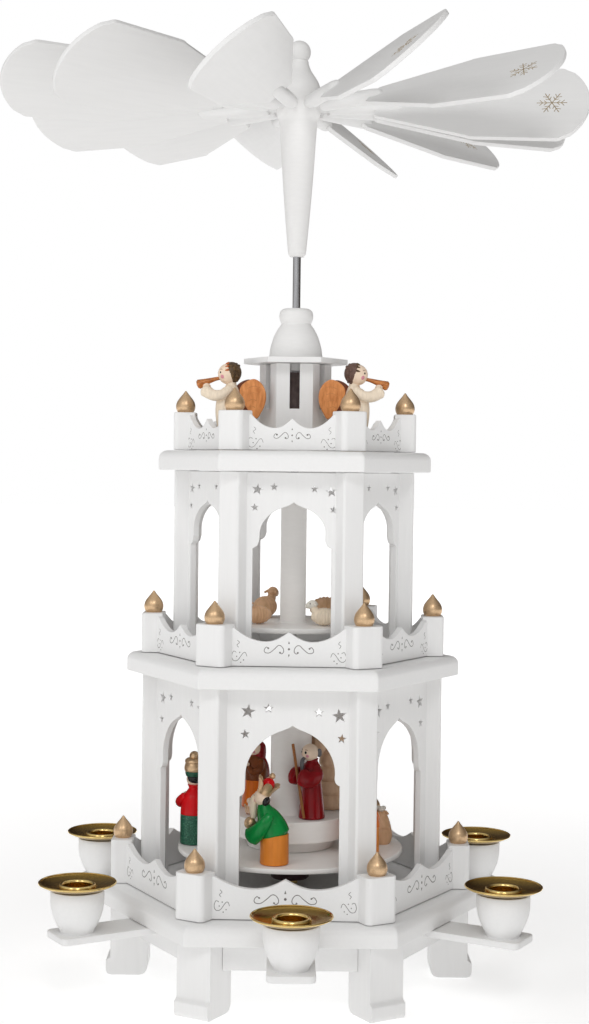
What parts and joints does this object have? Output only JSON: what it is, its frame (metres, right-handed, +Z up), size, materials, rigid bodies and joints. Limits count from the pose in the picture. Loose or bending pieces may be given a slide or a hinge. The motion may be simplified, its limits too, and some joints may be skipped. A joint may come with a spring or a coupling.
{
  "type": "christmas pyramid",
  "caption": "White wooden table-top Christmas pyramid: a hexagonal tower with turning nativity stages under a heat-driven rotor of adjustable paddles, and candle arms round its foot.",
  "frame": {"origin": "on the floor under the spindle, at the centre of the footprint", "axes": "+Z up along the spindle; -Y is the front face of the tower, +X to its right"},
  "size_m": [0.365, 0.3711, 0.6],
  "materials": {
    "white_lacquer": "white lacquer over wood, satin",
    "brass_plate": "polished pressed sheet",
    "polished_steel": "bright drawn rod",
    "cream_paint": "painted turned wood, satin",
    "bare_wood": "bare turned wood",
    "green_lacquer": "gloss paint on turned wood",
    "red_lacquer": "gloss paint on turned wood",
    "dark_red_lacquer": "gloss paint on turned wood",
    "orange_lacquer": "gloss paint on turned wood"
  },
  "bodies": {
    "tower": {"base_plate": "white_lacquer", "base_apron": "white_lacquer", "leg_1": "white_lacquer", "leg_2": "white_lacquer", "leg_3": "white_lacquer", "leg_4": "white_lacquer", "leg_5": "white_lacquer", "leg_6": "white_lacquer", "candle_arm_1": "white_lacquer", "candle_arm_2": "white_lacquer", "candle_arm_3": "white_lacquer", "candle_arm_4": "white_lacquer", "candle_arm_5": "white_lacquer", "candle_arm_6": "white_lacquer", "candle_pan_1": "brass_plate", "candle_pan_2": "brass_plate", "candle_pan_3": "brass_plate", "candle_pan_4": "brass_plate", "candle_pan_5": "brass_plate", "candle_pan_6": "brass_plate", "base_gallery": "white_lacquer", "lower_arcade": "white_lacquer", "middle_plate": "white_lacquer", "middle_gallery": "white_lacquer", "upper_arcade": "white_lacquer", "top_plate": "white_lacquer", "top_gallery": "white_lacquer", "turret": "white_lacquer", "turret_roof": "white_lacquer", "bearing_dome": "white_lacquer", "pivot_bearing": "brass_plate", "upper_bush": "brass_plate", "angel_left": "cream_paint", "angel_right": "cream_paint"},
    "carousel": {"axle": "polished_steel", "rotor_hub": "white_lacquer", "lower_disc": "white_lacquer", "raised_stage": "white_lacquer", "upper_stage": "white_lacquer", "king_green": "green_lacquer", "king_red": "red_lacquer", "king_orange": "orange_lacquer", "joseph": "dark_red_lacquer", "mary": "red_lacquer", "crib": "cream_paint", "palm_tree": "bare_wood", "sheep_white": "cream_paint", "lamb_tan": "bare_wood"},
    "paddle_01": {"blade_01": "white_lacquer"},
    "paddle_02": {"blade_02": "white_lacquer"},
    "paddle_03": {"blade_03": "white_lacquer"},
    "paddle_04": {"blade_04": "white_lacquer"},
    "paddle_05": {"blade_05": "white_lacquer"},
    "paddle_06": {"blade_06": "white_lacquer"},
    "paddle_07": {"blade_07": "white_lacquer"},
    "paddle_08": {"blade_08": "white_lacquer"},
    "paddle_09": {"blade_09": "white_lacquer"},
    "paddle_10": {"blade_10": "white_lacquer"},
    "paddle_11": {"blade_11": "white_lacquer"},
    "paddle_12": {"blade_12": "white_lacquer"}
  },
  "joints": [
    {"name": "carousel_spin", "type": "hinge", "parent": "tower", "child": "carousel", "pos_m": [0, 0, 0.0605], "axis": [0, 0, 1], "continuous": true},
    {"name": "paddle_01_pitch", "type": "hinge", "parent": "carousel", "child": "paddle_01", "pos_m": [-0.00286, -0.01472, 0.55694], "axis": [-0.1908, -0.9815, -0.0175], "range_deg": [-39, 51]},
    {"name": "paddle_02_pitch", "type": "hinge", "parent": "carousel", "child": "paddle_02", "pos_m": [0.00574, -0.01386, 0.55746], "axis": [0.3826, -0.9237, 0.0175], "range_deg": [-44, 46]},
    {"name": "paddle_03_pitch", "type": "hinge", "parent": "carousel", "child": "paddle_03", "pos_m": [0.01166, -0.00944, 0.5572], "axis": [0.7771, -0.6293, 0], "range_deg": [-38, 52]},
    {"name": "paddle_04_pitch", "type": "hinge", "parent": "carousel", "child": "paddle_04", "pos_m": [0.01475, -0.00273, 0.55694], "axis": [0.9831, -0.1822, -0.0175], "range_deg": [-55, 35]},
    {"name": "paddle_05_pitch", "type": "hinge", "parent": "carousel", "child": "paddle_05", "pos_m": [0.01427, 0.00464, 0.5572], "axis": [0.9511, 0.309, 0], "range_deg": [-42, 48]},
    {"name": "paddle_06_pitch", "type": "hinge", "parent": "carousel", "child": "paddle_06", "pos_m": [0.01033, 0.01088, 0.5572], "axis": [0.6884, 0.7254, 0], "range_deg": [-40, 50]},
    {"name": "paddle_07_pitch", "type": "hinge", "parent": "carousel", "child": "paddle_07", "pos_m": [0.00401, 0.01445, 0.55746], "axis": [0.2672, 0.9635, 0.0175], "range_deg": [-42, 48]},
    {"name": "paddle_08_pitch", "type": "hinge", "parent": "carousel", "child": "paddle_08", "pos_m": [-0.00375, 0.0145, 0.55799], "axis": [-0.25, 0.9668, 0.0523], "range_deg": [-39, 51]},
    {"name": "paddle_09_pitch", "type": "hinge", "parent": "carousel", "child": "paddle_09", "pos_m": [-0.0107, 0.01051, 0.55746], "axis": [-0.7131, 0.7008, 0.0175], "range_deg": [-31, 59]},
    {"name": "paddle_10_pitch", "type": "hinge", "parent": "carousel", "child": "paddle_10", "pos_m": [-0.01449, 0.00388, 0.5572], "axis": [-0.9659, 0.2588, 0], "range_deg": [-31, 59]},
    {"name": "paddle_11_pitch", "type": "hinge", "parent": "carousel", "child": "paddle_11", "pos_m": [-0.01441, -0.00413, 0.55785], "axis": [-0.9603, -0.2754, 0.0436], "range_deg": [-35, 55]},
    {"name": "paddle_12_pitch", "type": "hinge", "parent": "carousel", "child": "paddle_12", "pos_m": [-0.01013, -0.01106, 0.5572], "axis": [-0.6756, -0.7373, 0], "range_deg": [-38, 52]}
  ]
}
